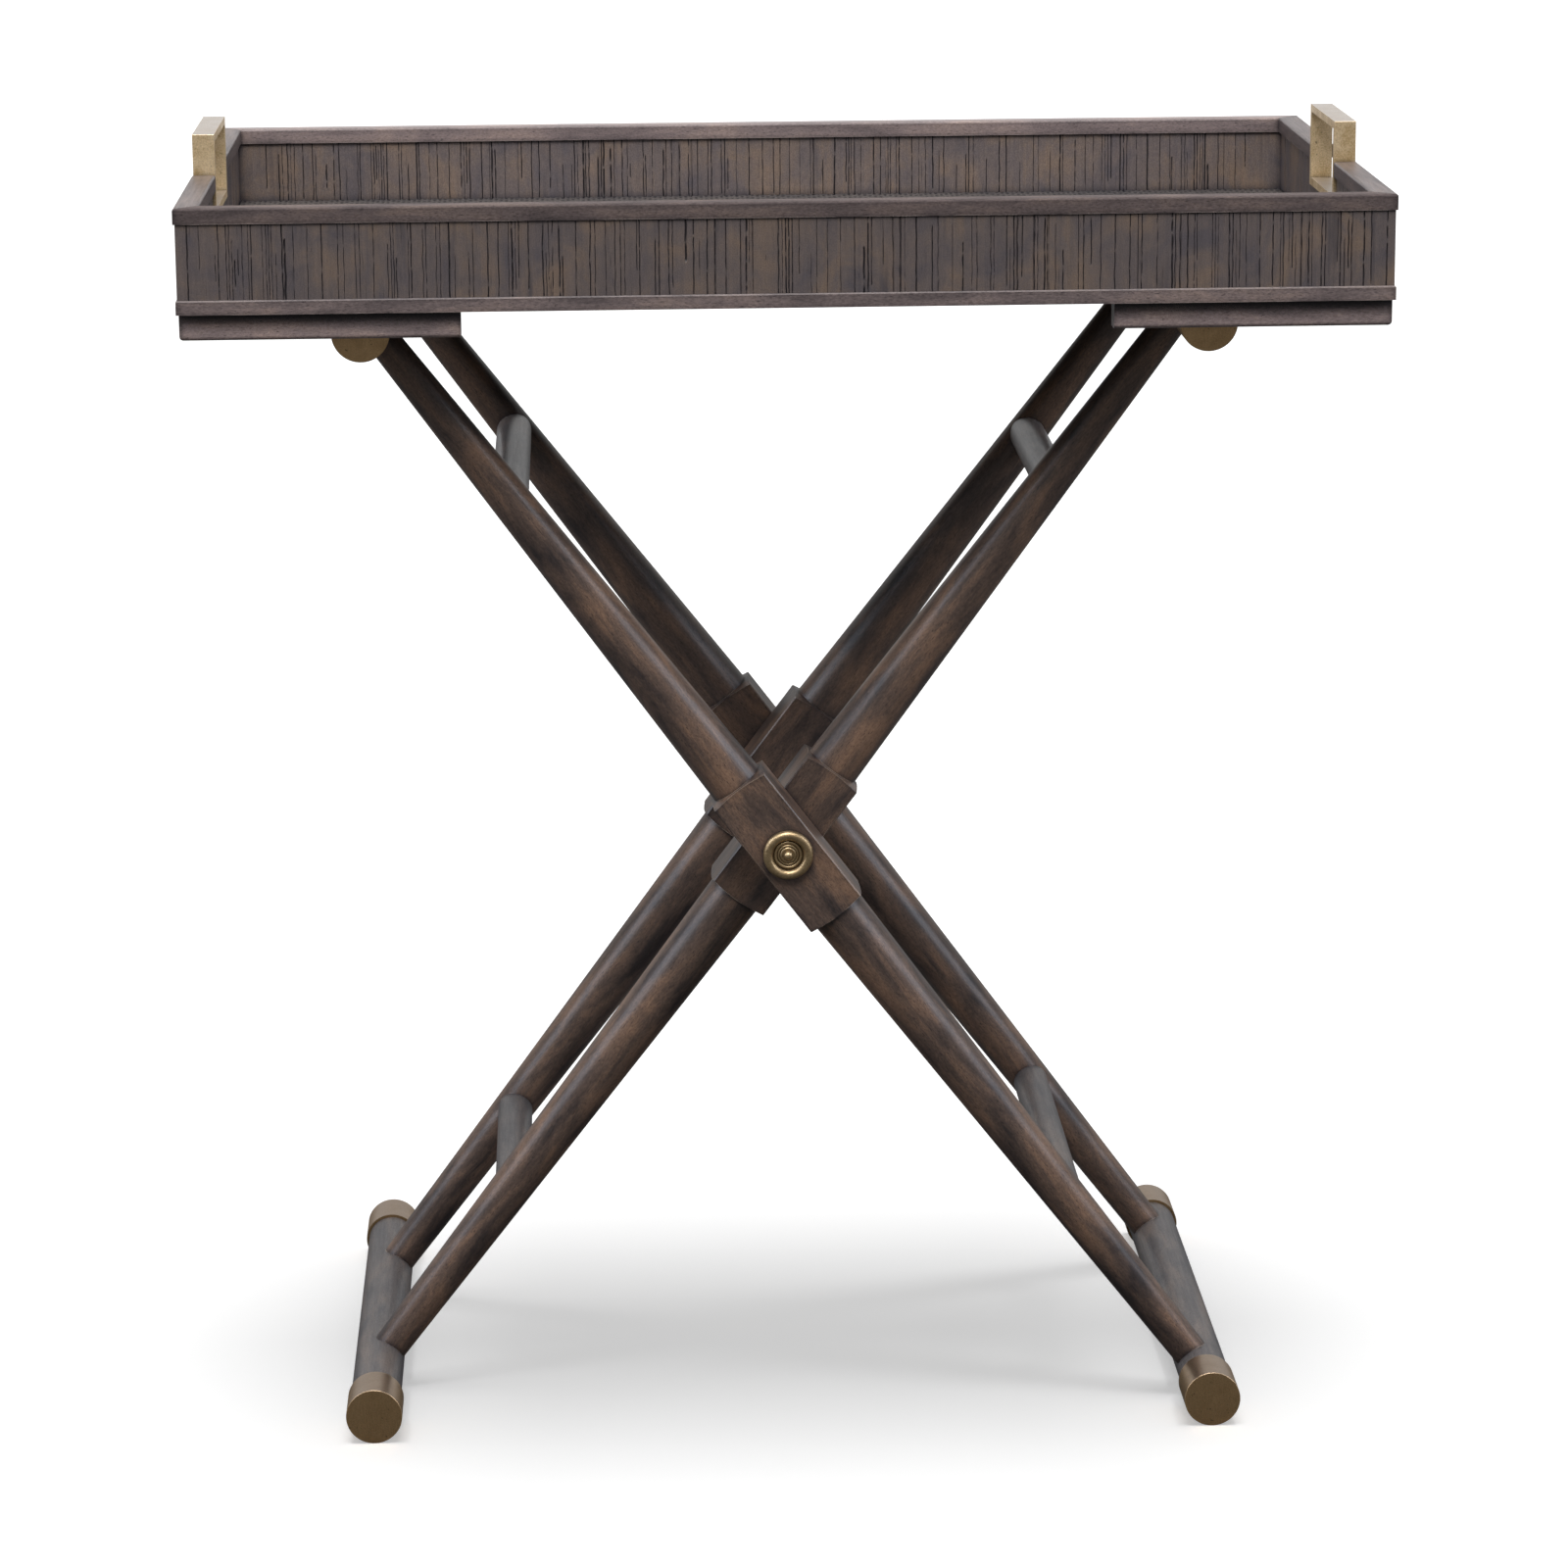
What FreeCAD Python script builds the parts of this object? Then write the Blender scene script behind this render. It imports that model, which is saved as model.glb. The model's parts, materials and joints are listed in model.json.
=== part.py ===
"""Folding tray table: a butler's tray resting on a pair of crossed, hinged frames.

+X runs along the table's width, +Y towards its back and +Z up. The origin is on the
floor, under the middle of the tray. All lengths are in millimetres.

Frame A is the outer one: its legs run from the top left to the bottom right. Frame B
is the inner one and mirrors it. Both hinge on bolts through their square hub blocks.
"""
import FreeCAD, Part
import math
import operator
import os

import Sketcher

Vector = FreeCAD.Vector
Rotation = FreeCAD.Rotation
Placement = FreeCAD.Placement

DIMENSIONS = {
    # tray
    "tray_width": 762.0,
    "tray_depth": 457.0,
    "tray_height": 66.5,
    "rail_top": 821.5,
    "rail_width": 15.5,
    "rail_height": 10.0,
    "rail_overhang": 1.2,
    "rail_rounding": 1.6,
    "panel_thickness": 12.2,
    "base_height": 9.0,
    "base_lip": 1.0,
    "board_thickness": 14.0,
    "mat_thickness": 2.5,
    # brass loop handles, set in notches in the tray's ends
    "handle_length": 110.0,
    "handle_height": 54.0,
    "handle_rise": 26.5,
    "handle_bar": 5.0,
    "handle_corner": 0.4,
    "handle_screw_spacing": 76.0,
    # mouldings under the ends of the tray
    "skirt_length": 175.0,
    "skirt_height": 17.0,
    "skirt_width": 18.5,
    "skirt_inset": 1.3,
    "skirt_front_inset": 6.5,
    "skirt_rounding": 3.0,
    # rests that locate the tray on the top bars
    "rest_length": 290.0,
    "rest_bearing": 14.0,
    "rest_lip": 13.0,
    "rest_drop": 13.5,
    "rest_gap": 0.3,
    "rest_screw_spacing": 120.0,
    # crossed frames
    "lean": 37.1,
    "outer_leg_offset": 137.0,
    "inner_leg_offset": 92.0,
    "upper_reach": 441.5,
    "lower_reach": 460.5,
    "top_bar_offset": 3.0,
    "block_width": 41.0,
    "block_length": 108.5,
    "block_chamfer": 0.7,
    "shoulder_drop": 3.0,
    "neck_diameter": 36.5,
    "leg_top_diameter": 20.4,
    "leg_foot_diameter": 22.8,
    "bar_diameter": 33.2,
    "top_bar_length": 371.0,
    "foot_bar_length": 404.0,
    "tenon_diameter": 12.0,
    "tenon_depth": 15.0,
    "stretcher_diameter": 24.0,
    "upper_stretcher_reach": 293.5,
    "lower_stretcher_reach": 306.5,
    # brass ferrules on the bars' ends
    "cap_diameter": 37.0,
    "cap_length": 36.0,
    "cap_end": 2.5,
    "cap_chamfer": 0.2,
    # pivots
    "bolt_diameter": 8.0,
    "bolt_clearance": 0.05,
    "bolt_head_diameter": 14.0,
    "bolt_head_height": 5.0,
    "counterbore_diameter": 15.0,
    "counterbore_depth": 8.0,
    "spacer_diameter": 24.0,
    "running_gap": 0.3,
    "insert_diameter": 12.0,
    "insert_depth": 24.0,
    "bolt_tail": 2.0,
    "rosette_diameter": 32.8,
    "rosette_plate": 2.6,
    "rosette_boss": 2.0,
    # wood screws
    "screw_diameter": 3.5,
    "screw_head_diameter": 7.0,
    "handle_screw_length": 18.0,
    "rest_screw_length": 26.0,
}

doc = FreeCAD.newDocument("FoldingTrayTable")
sheet = doc.addObject("Spreadsheet::Sheet", "Dimensions")
for row, (alias, value) in enumerate(DIMENSIONS.items(), start=1):
    sheet.set(f"A{row}", alias.replace("_", " "))
    sheet.set(f"B{row}", str(value))
    sheet.setAlias(f"B{row}", alias)
doc.recompute()

nodes = []


# ---- sizes that carry both a value and the expression that gives it -----------------

OPERATIONS = {"+": operator.add, "-": operator.sub, "*": operator.mul, "/": operator.truediv}


class Size:
    """A length or ratio with the sheet expression that it is bound to."""

    def __init__(self, value, text):
        self.value = value
        self.text = text

    def __add__(self, other):
        return combine(self, "+", other)

    def __radd__(self, other):
        return combine(other, "+", self)

    def __sub__(self, other):
        return combine(self, "-", other)

    def __rsub__(self, other):
        return combine(other, "-", self)

    def __mul__(self, other):
        return combine(self, "*", other)

    def __rmul__(self, other):
        return combine(other, "*", self)

    def __truediv__(self, other):
        return combine(self, "/", other)

    def __neg__(self):
        return combine(0, "-", self)


def as_size(number):
    return number if isinstance(number, Size) else Size(float(number), str(float(number)))


def combine(left, sign, right):
    left, right = as_size(left), as_size(right)
    return Size(OPERATIONS[sign](left.value, right.value), f"({left.text} {sign} {right.text})")


def cell(alias):
    return Size(float(sheet.get(alias)), f"Dimensions.{alias}")


def bind(item, path, size):
    """Tie one property of an object to the sheet."""
    item.setExpression(path, as_size(size).text)


# ---- building blocks -----------------------------------------------------------------

def plane_of(body, role):
    return next(part for part in body.Origin.OriginFeatures if part.Role == role)


def attach(item, body, role, offset=0, turn=None):
    """Attach a sketch or primitive to an origin plane, moved along the plane's normal."""
    item.AttachmentSupport = [(plane_of(body, role), "")]
    item.MapMode = "FlatFace"
    item.AttachmentOffset = Placement(Vector(), turn or Rotation())
    bind(item, ".AttachmentOffset.Base.z", offset)


def new_body(label):
    body = doc.addObject("PartDesign::Body", label)
    body.Label = label
    return body


def add_loop(sketch, points):
    """Closed outline of straight lines; every corner is dimensioned from the origin."""
    first = sketch.GeometryCount
    corners = [(as_size(x), as_size(y)) for x, y in points]
    count = len(corners)
    for index, (x, y) in enumerate(corners):
        next_x, next_y = corners[(index + 1) % count]
        line = Part.LineSegment(Vector(x.value, y.value, 0), Vector(next_x.value, next_y.value, 0))
        sketch.addGeometry(line, False)
    for index, (x, y) in enumerate(corners):
        line = first + index
        following = first + (index + 1) % count
        sketch.addConstraint(Sketcher.Constraint("Coincident", line, 2, following, 1))
        for kind, coordinate in (("DistanceX", x), ("DistanceY", y)):
            place = sketch.addConstraint(
                Sketcher.Constraint(kind, -1, 1, line, 1, coordinate.value))
            bind(sketch, f"Constraints[{place}]", coordinate)


def add_circle(sketch, diameter, x=0, y=0):
    x, y, diameter = as_size(x), as_size(y), as_size(diameter)
    circle = sketch.addGeometry(
        Part.Circle(Vector(x.value, y.value, 0), Vector(0, 0, 1), diameter.value / 2), False)
    for kind, coordinate in (("DistanceX", x), ("DistanceY", y)):
        place = sketch.addConstraint(
            Sketcher.Constraint(kind, -1, 1, circle, 3, coordinate.value))
        bind(sketch, f"Constraints[{place}]", coordinate)
    place = sketch.addConstraint(Sketcher.Constraint("Diameter", circle, diameter.value))
    bind(sketch, f"Constraints[{place}]", diameter)


def new_sketch(body, role, offset=0):
    sketch = body.newObject("Sketcher::SketchObject", f"{body.Name}_sketch")
    attach(sketch, body, role, offset)
    return sketch


def pad(body, sketch, length, symmetric=False):
    feature = body.newObject("PartDesign::Pad", f"{body.Name}_pad")
    feature.Profile = sketch
    bind(feature, "Length", length)
    feature.SideType = "Symmetric" if symmetric else "One side"
    return feature


def pocket(body, sketch, length, symmetric=True, reverse=False):
    feature = body.newObject("PartDesign::Pocket", f"{body.Name}_pocket")
    feature.Profile = sketch
    bind(feature, "Length", length)
    feature.SideType = "Symmetric" if symmetric else "One side"
    feature.Reversed = reverse
    return feature


def turn_about_axis(body, points):
    """Solid of revolution about local Z from an outline of (radius, height) points."""
    sketch = new_sketch(body, "XZ_Plane")
    add_loop(sketch, points)
    feature = body.newObject("PartDesign::Revolution", f"{body.Name}_revolution")
    feature.Profile = sketch
    feature.ReferenceAxis = (sketch, ["V_Axis"])
    feature.Angle = 360
    return feature


def primitive(body, kind, role, offset, sizes, turn=None, x=0, y=0):
    """Additive or subtractive cylinder or cone on an origin plane."""
    feature = body.newObject(f"PartDesign::{kind}", f"{body.Name}_{kind}")
    attach(feature, body, role, offset, turn)
    bind(feature, ".AttachmentOffset.Base.x", x)
    bind(feature, ".AttachmentOffset.Base.y", y)
    for name, size in sizes.items():
        bind(feature, name, size)
    return feature


def edges_on(feature, test):
    """Names of a feature's edges whose end points all pass a test."""
    doc.recompute()
    found = []
    for index, edge in enumerate(feature.Shape.Edges, start=1):
        if all(test(vertex.Point) for vertex in edge.Vertexes):
            found.append(f"Edge{index}")
    return found


def dress(body, kind, feature, edges, size):
    """Fillet or chamfer the named edges of the body's last feature."""
    dressed = body.newObject(f"PartDesign::{kind}", f"{body.Name}_{kind}")
    dressed.Base = (feature, edges)
    bind(dressed, "Radius" if kind == "Fillet" else "Size", size)
    return dressed


def keep(item):
    """Mark an object as a finished piece of the table."""
    nodes.append(item)
    return item


def group(label, items):
    """Identical fasteners, kept together as one node of separate solids."""
    bundle = doc.addObject("Part::Compound", label)
    bundle.Label = label
    bundle.Links = items
    return keep(bundle)


def near(value, target):
    return abs(value - target) < 0.01


# ---- named sizes -----------------------------------------------------------------------

half_width = cell("tray_width") / 2
half_depth = cell("tray_depth") / 2
rail_top = cell("rail_top")
rail_bottom = rail_top - cell("rail_height")
tray_bottom = rail_top - cell("tray_height")
base_top = tray_bottom + cell("base_height")
board_top = tray_bottom + cell("board_thickness")
panel_inset = cell("rail_overhang")
inner_inset = panel_inset + cell("panel_thickness")
base_inset = panel_inset - cell("base_lip")
skirt_inset = base_inset + cell("skirt_inset")
skirt_front_inset = base_inset + cell("skirt_front_inset")
skirt_bottom = tray_bottom - cell("skirt_height")
handle_bottom = rail_top + cell("handle_rise") - cell("handle_height")
handle_half = cell("handle_length") / 2

lean_degrees = float(sheet.get("lean"))
lean_sine = Size(math.sin(math.radians(lean_degrees)), "sin(Dimensions.lean * 1deg)")
lean_cosine = Size(math.cos(math.radians(lean_degrees)), "cos(Dimensions.lean * 1deg)")
hub_height = cell("cap_diameter") / 2 + cell("lower_reach") * lean_cosine
bar_radius = cell("bar_diameter") / 2
block_half = cell("block_width") / 2
block_end = cell("block_length") / 2
neck_radius = cell("neck_diameter") / 2
upper_reach = cell("upper_reach")
lower_reach = cell("lower_reach")

FRAME_SIGNS = {"a": -1, "b": 1}
LEG_OFFSETS = {"a": cell("outer_leg_offset"), "b": cell("inner_leg_offset")}
END_SIGNS = {"front": -1, "back": 1}
SIDE_SIGNS = {"left": -1, "right": 1}


def leg_radius(reach, upper):
    """Radius of the tapered leg at a distance from the hub."""
    end_radius = cell("leg_top_diameter" if upper else "leg_foot_diameter") / 2
    end_reach = upper_reach if upper else lower_reach
    fraction = (reach - block_end) / (end_reach - block_end)
    return neck_radius + (end_radius - neck_radius) * fraction


def place_on_frame(item, frame, along, across=0, offset=0, turn=None):
    """Set a piece on frame a or b.

    along is measured up the leg from the hub, across is towards the back, and offset is
    at right angles to the leg, away from the middle of the table at its top end.
    """
    sign = FRAME_SIGNS[frame]
    item.Placement.Rotation = Rotation(Vector(0, 1, 0), sign * lean_degrees) * (turn or Rotation())
    bind(item, ".Placement.Base.x", sign * (along * lean_sine + offset * lean_cosine))
    bind(item, ".Placement.Base.y", across)
    bind(item, ".Placement.Base.z", hub_height + along * lean_cosine - offset * lean_sine)


# ---- crossed frames --------------------------------------------------------------------

def square_with_chamfers(half, chamfer):
    corner = half - chamfer
    return [(corner, half), (half, corner), (half, -corner), (corner, -half),
            (-corner, -half), (-half, -corner), (-half, corner), (-corner, half)]


def make_leg(frame, end):
    """Turned leg with a square hub block, coped and tenoned at both ends.

    Local Z runs up the leg from the hub; local -Y is the outer side.
    """
    body = new_body(f"leg_{frame}_{end}")
    corner_radius = block_half * 1.5
    shoulder = block_end - cell("shoulder_drop")
    top_radius = cell("leg_top_diameter") / 2
    foot_radius = cell("leg_foot_diameter") / 2
    turn_about_axis(body, [
        (0, -lower_reach), (foot_radius, -lower_reach), (neck_radius, -block_end),
        (corner_radius, -shoulder), (corner_radius, shoulder),
        (neck_radius, block_end), (top_radius, upper_reach), (0, upper_reach)])

    square = new_sketch(body, "XY_Plane")
    outside = block_half * 2
    add_loop(square, [(outside, outside), (outside, -outside), (-outside, -outside), (-outside, outside)])
    add_loop(square, square_with_chamfers(block_half, cell("block_chamfer")))
    pocket(body, square, cell("block_length"))

    top_offset = FRAME_SIGNS[frame] * END_SIGNS["back"] * cell("top_bar_offset")
    if end == "back":
        top_offset = -top_offset
    for offset, reach in ((top_offset, upper_reach), (as_size(0), -lower_reach)):
        cope = new_sketch(body, "XZ_Plane")
        add_circle(cope, cell("bar_diameter"), offset, reach)
        pocket(body, cope, block_half * 4)

    tenon_root = bar_radius + 6
    tenon_length = tenon_root - bar_radius + cell("tenon_depth")
    tenon = {"Radius": cell("tenon_diameter") / 2, "Height": tenon_length}
    primitive(body, "AdditiveCylinder", "XY_Plane", upper_reach - tenon_root, tenon)
    primitive(body, "AdditiveCylinder", "XY_Plane", tenon_root - lower_reach - tenon_length, tenon)

    if frame == "a":
        bore = new_sketch(body, "XZ_Plane")
        add_circle(bore, cell("bolt_diameter"))
        pocket(body, bore, block_half * 4)
        recess_diameter, depth = cell("counterbore_diameter"), cell("counterbore_depth")
    else:
        recess_diameter, depth = cell("insert_diameter"), cell("insert_depth")
    recess = {"Radius": recess_diameter / 2, "Height": depth + 1}
    primitive(body, "SubtractiveCylinder", "XZ_Plane", block_half - depth, recess)

    mortise = {"Radius": cell("tenon_diameter") / 2, "Height": neck_radius + 4}
    for reach in (cell("upper_stretcher_reach"), -cell("lower_stretcher_reach")):
        primitive(body, "SubtractiveCylinder", "XZ_Plane", -neck_radius, mortise, y=reach)

    turn = Rotation(Vector(0, 0, 1), 180 if end == "back" else 0)
    place_on_frame(body, frame, as_size(0), END_SIGNS[end] * LEG_OFFSETS[frame], turn=turn)
    return keep(body)


def make_bar(label, frame, length, reach, upper):
    """Round bar across the ends of a frame's legs; local +Z points to the hub."""
    body = new_body(label)
    section = new_sketch(body, "XZ_Plane")
    add_circle(section, cell("bar_diameter"))
    pad(body, section, length - 2 * cell("cap_end"), symmetric=True)
    offset = cell("top_bar_offset") if upper else as_size(0)
    mortise = {"Radius": cell("tenon_diameter") / 2, "Height": cell("tenon_depth") + 1}
    for sign in END_SIGNS.values():
        primitive(body, "SubtractiveCylinder", "XY_Plane", bar_radius - cell("tenon_depth"), mortise,
                  x=FRAME_SIGNS[frame] * offset, y=sign * LEG_OFFSETS[frame])
    turn = Rotation(Vector(0, 1, 0), 180 if upper else 0)
    place_on_frame(body, frame, reach, offset=offset, turn=turn)
    return keep(body)


def make_stretcher(label, frame, reach, upper):
    """Round rod between a frame's two legs, coped to their taper, with a tenon each end."""
    body = new_body(label)
    leg_offset = LEG_OFFSETS[frame]
    section = new_sketch(body, "XZ_Plane")
    add_circle(section, cell("stretcher_diameter"))
    pad(body, section, leg_offset * 2, symmetric=True)
    span = 30.0
    low_reach, high_reach = (reach - span, reach + span) if upper else (reach + span, reach - span)
    saddle = {"Radius1": leg_radius(low_reach, upper), "Radius2": leg_radius(high_reach, upper),
              "Height": as_size(2 * span)}
    for sign in END_SIGNS.values():
        primitive(body, "SubtractiveCone", "XY_Plane", as_size(-span), saddle, y=sign * leg_offset)
    tenon_half = leg_offset + 4
    tenon_length = neck_radius + 4
    tenon = {"Radius": cell("tenon_diameter") / 2, "Height": tenon_length}
    for low in (-tenon_half, tenon_half - tenon_length):
        primitive(body, "AdditiveCylinder", "XZ_Plane", low, tenon)
    place_on_frame(body, frame, reach if upper else -reach)
    return keep(body)


def make_bar_cap(label, frame, end, length, reach, upper):
    """Brass ferrule, a cup over the end of a bar; local +Z points outwards."""
    body = new_body(label)
    outer = cell("cap_diameter") / 2
    chamfer = cell("cap_chamfer")
    mouth = length / 2 - cell("cap_length")
    face = length / 2
    floor = face - cell("cap_end")
    turn_about_axis(body, [
        (0, floor), (bar_radius, floor), (bar_radius, mouth), (outer, mouth),
        (outer, face - chamfer), (outer - chamfer, face), (0, face)])
    offset = cell("top_bar_offset") if upper else as_size(0)
    turn = Rotation(Vector(1, 0, 0), -90 * END_SIGNS[end])
    place_on_frame(body, frame, reach, offset=offset, turn=turn)
    return keep(body)


def make_frame(frame):
    for end in END_SIGNS:
        make_leg(frame, end)
    bars = (("top", cell("top_bar_length"), upper_reach, True),
            ("foot", cell("foot_bar_length"), -lower_reach, False))
    for name, length, reach, upper in bars:
        make_bar(f"{name}_bar_{frame}", frame, length, reach, upper)
        for end in END_SIGNS:
            make_bar_cap(f"{name}_cap_{frame}_{end}", frame, end, length, reach, upper)
    make_stretcher(f"upper_stretcher_{frame}", frame, cell("upper_stretcher_reach"), True)
    make_stretcher(f"lower_stretcher_{frame}", frame, cell("lower_stretcher_reach"), False)


# ---- pivots, measured outwards from the middle of the table ---------------------------

outer_block_face = cell("outer_leg_offset") + block_half
outer_block_back = cell("outer_leg_offset") - block_half
inner_block_face = cell("inner_leg_offset") + block_half
head_seat = outer_block_face - cell("counterbore_depth")
insert_floor = inner_block_face - cell("insert_depth")
bolt_radius = cell("bolt_diameter") / 2


def place_pivot(item, end, frame="a"):
    """Put a pivot piece on the hub's axis with local +Z outwards."""
    place_on_frame(item, frame, as_size(0), turn=Rotation(Vector(1, 0, 0), -90 * END_SIGNS[end]))
    return keep(item)


def make_ring(label, inner_radius, outer_radius, low, high):
    body = new_body(label)
    turn_about_axis(body, [(inner_radius, low), (outer_radius, low),
                           (outer_radius, high), (inner_radius, high)])
    return body


def make_bolt(end):
    body = new_body(f"pivot_bolt_{end}")
    head_radius = cell("bolt_head_diameter") / 2
    tail = insert_floor + cell("bolt_tail")
    head_top = head_seat + cell("bolt_head_height")
    turn_about_axis(body, [(0, tail), (bolt_radius, tail), (bolt_radius, head_seat),
                           (head_radius, head_seat), (head_radius, head_top), (0, head_top)])
    return place_pivot(body, end)


def make_rosette(end):
    """Turned brass rosette over the bolt's head: rings about a domed centre."""
    label = f"rosette_{end}"
    radius = cell("rosette_diameter") / 2
    plate = cell("rosette_plate")
    rings = []

    def ring(name, centre_radius, tube_radius, height):
        torus = doc.addObject("Part::Torus", f"{label}_{name}")
        bind(torus, "Radius1", centre_radius)
        bind(torus, "Radius2", tube_radius)
        bind(torus, ".Placement.Base.z", height)
        rings.append(torus)

    def disc(name, disc_radius, low, high):
        cylinder = doc.addObject("Part::Cylinder", f"{label}_{name}")
        bind(cylinder, "Radius", disc_radius)
        bind(cylinder, "Height", high - low)
        bind(cylinder, ".Placement.Base.z", low)
        rings.append(cylinder)

    face = outer_block_face + plate
    disc("boss", cell("counterbore_diameter") / 2, outer_block_face - cell("rosette_boss"), outer_block_face)
    disc("plate", radius * 0.96, outer_block_face, face)
    ring("rim", radius * 0.80, radius * 0.20, outer_block_face + radius * 0.20)
    ring("bead", radius * 0.51, radius * 0.07, face + radius * 0.02)
    ring("step", radius * 0.38, radius * 0.05, face + radius * 0.03)
    ring("collar", radius * 0.27, radius * 0.06, face + radius * 0.06)
    disc("stem", radius * 0.27, face, face + radius * 0.1)
    dome = doc.addObject("Part::Sphere", f"{label}_dome")
    bind(dome, "Radius", radius * 0.19)
    bind(dome, ".Placement.Base.z", face + radius * 0.12)
    rings.append(dome)

    body = doc.addObject("Part::MultiFuse", label)
    body.Label = label
    body.Shapes = rings
    return place_pivot(body, end)


def make_pivot(end):
    """Bolt fixed in frame a that runs in a blind steel insert in frame b's block."""
    make_bolt(end)
    make_rosette(end)
    place_pivot(make_ring(f"spacer_washer_{end}", bolt_radius, cell("spacer_diameter") / 2,
                          inner_block_face + cell("running_gap"), outer_block_back), end)
    place_pivot(make_ring(f"threaded_insert_b_{end}", bolt_radius + cell("bolt_clearance"),
                          cell("insert_diameter") / 2, insert_floor,
                          inner_block_face - cell("running_gap")), end, frame="b")


# ---- tray ------------------------------------------------------------------------------

def mitred_strip(label, side, inset, width, low, high, start=None, finish=None, end_inset=None):
    """Strip along one side of the tray with mitred ends.

    inset is from the tray's outer edge to the strip's outer face, and end_inset is that
    of the strips it meets, if it differs. start and finish cut an end square at that
    place along the side instead of mitring it at the corner.
    """
    end_inset = inset if end_inset is None else end_inset
    body = new_body(label)
    along_x = side in ("front", "back")
    sign = -1 if side in ("front", "left") else 1
    half_long, half_short = (half_width, half_depth) if along_x else (half_depth, half_width)
    outer, inner = half_short - inset, half_short - inset - width
    long_outer, long_inner = half_long - end_inset, half_long - end_inset - width
    low_ends = (-long_outer, -long_inner) if start is None else (start, start)
    high_ends = (long_outer, long_inner) if finish is None else (finish, finish)
    corners = [(low_ends[0], sign * outer), (high_ends[0], sign * outer),
               (high_ends[1], sign * inner), (low_ends[1], sign * inner)]
    if not along_x:
        corners = [(across, along) for along, across in corners]
    plan = new_sketch(body, "XY_Plane", low)
    add_loop(plan, corners)
    feature = pad(body, plan, high - low)
    return body, feature, sign * outer.value, sign * inner.value


def on_edge(side, face, height):
    """Test for the points of a strip's long edge at one face and height."""
    axis = 1 if side in ("front", "back") else 0
    return lambda point: near(point[axis], face) and near(point.z, height.value)


def make_panel(side):
    label = f"{side}_panel"
    body, _, _, _ = mitred_strip(
        label, side, panel_inset, cell("panel_thickness"), base_top, rail_bottom)
    if side in SIDE_SIGNS:
        notch = new_sketch(body, "YZ_Plane")
        above = rail_bottom + 10
        add_loop(notch, [(-handle_half, handle_bottom), (handle_half, handle_bottom),
                         (handle_half, above), (-handle_half, above)])
        pocket(body, notch, cell("tray_width") * 1.2)
        centre = half_width - panel_inset - cell("panel_thickness") / 2
        hole = {"Radius": cell("screw_diameter") / 2, "Height": cell("handle_screw_length")}
        low = handle_bottom + cell("handle_bar") - cell("handle_screw_length")
        for sign in END_SIGNS.values():
            primitive(body, "SubtractiveCylinder", "XY_Plane", low, hole,
                      x=SIDE_SIGNS[side] * centre, y=sign * cell("handle_screw_spacing") / 2)
    return keep(body)


def make_rail(label, side, start=None, finish=None):
    body, feature, outer, inner = mitred_strip(
        label, side, as_size(0), cell("rail_width"), rail_bottom, rail_top, start, finish)
    edges = edges_on(feature, on_edge(side, outer, rail_top))
    edges += edges_on(feature, on_edge(side, inner, rail_top))
    dress(body, "Fillet", feature, edges, cell("rail_rounding"))
    return keep(body)


def make_base_moulding(side):
    width = inner_inset - base_inset
    body, feature, outer, _ = mitred_strip(
        f"base_moulding_{side}", side, base_inset, width, tray_bottom, base_top)
    edges = edges_on(feature, on_edge(side, outer, base_top))
    dress(body, "Chamfer", feature, edges, cell("base_lip") * 0.8)
    return keep(body)


def make_skirt(label, side, start=None, finish=None):
    insets = (skirt_inset, skirt_front_inset)
    inset, end_inset = insets if side in SIDE_SIGNS else reversed(insets)
    body, feature, outer, _ = mitred_strip(
        label, side, inset, cell("skirt_width"), skirt_bottom, tray_bottom, start, finish, end_inset)
    edges = edges_on(feature, on_edge(side, outer, skirt_bottom))
    dress(body, "Fillet", feature, edges, cell("skirt_rounding"))
    return keep(body)


def make_flat_panel(label, low, high):
    """Rectangular sheet that fills the tray between its sides."""
    body = new_body(label)
    plan = new_sketch(body, "XY_Plane", low)
    across, deep = half_width - inner_inset, half_depth - inner_inset
    add_loop(plan, [(-across, -deep), (across, -deep), (across, deep), (-across, deep)])
    pad(body, plan, high - low)
    if label == "bottom_board":
        hole = {"Radius": cell("screw_diameter") / 2,
                "Height": rest_screw_tip - tray_bottom}
        for x, y in rest_screw_places():
            primitive(body, "SubtractiveCylinder", "XY_Plane", tray_bottom, hole, x=x, y=y)
    return keep(body)


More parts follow.
